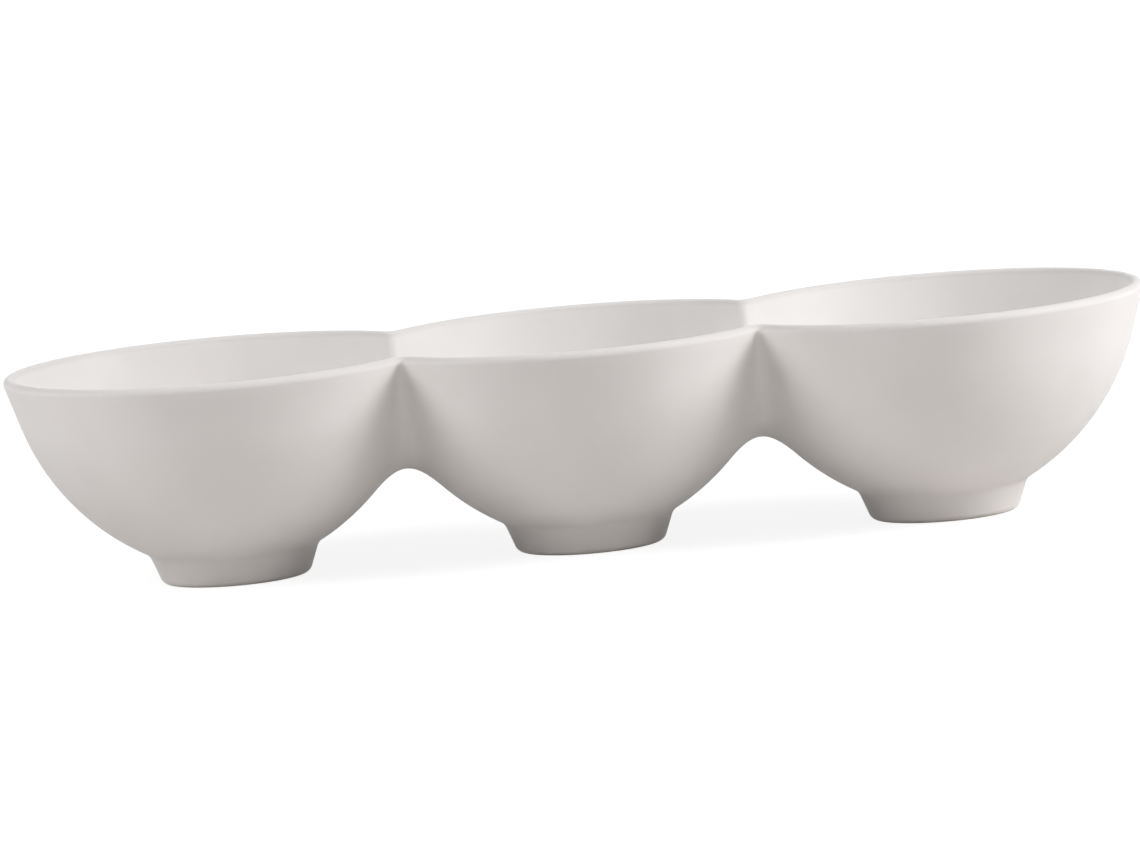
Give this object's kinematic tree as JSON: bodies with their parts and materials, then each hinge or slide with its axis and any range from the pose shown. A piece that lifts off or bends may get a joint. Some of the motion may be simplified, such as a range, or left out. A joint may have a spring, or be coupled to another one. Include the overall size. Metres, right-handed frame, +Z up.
{
  "type": "chip and dip server",
  "caption": "Row of round bowls run together over low crests, each on a flared foot ring, for serving chips and dips side by side.",
  "frame": {"origin": "on the table under the middle of the middle bowl", "axes": "+X along the row of bowls to the right, +Y to the back, +Z up"},
  "size_m": [0.3938, 0.1484, 0.0757],
  "materials": {
    "glaze": "satin warm-white glaze",
    "foot": "satin warm-white glaze outside, dry bare clay where it stands"
  },
  "bodies": {
    "root": {"left_bowl": "glaze", "middle_bowl": "glaze", "right_bowl": "glaze", "left_saddle": "glaze", "right_saddle": "glaze", "left_foot_ring": "foot", "middle_foot_ring": "foot", "right_foot_ring": "foot"}
  },
  "joints": []
}
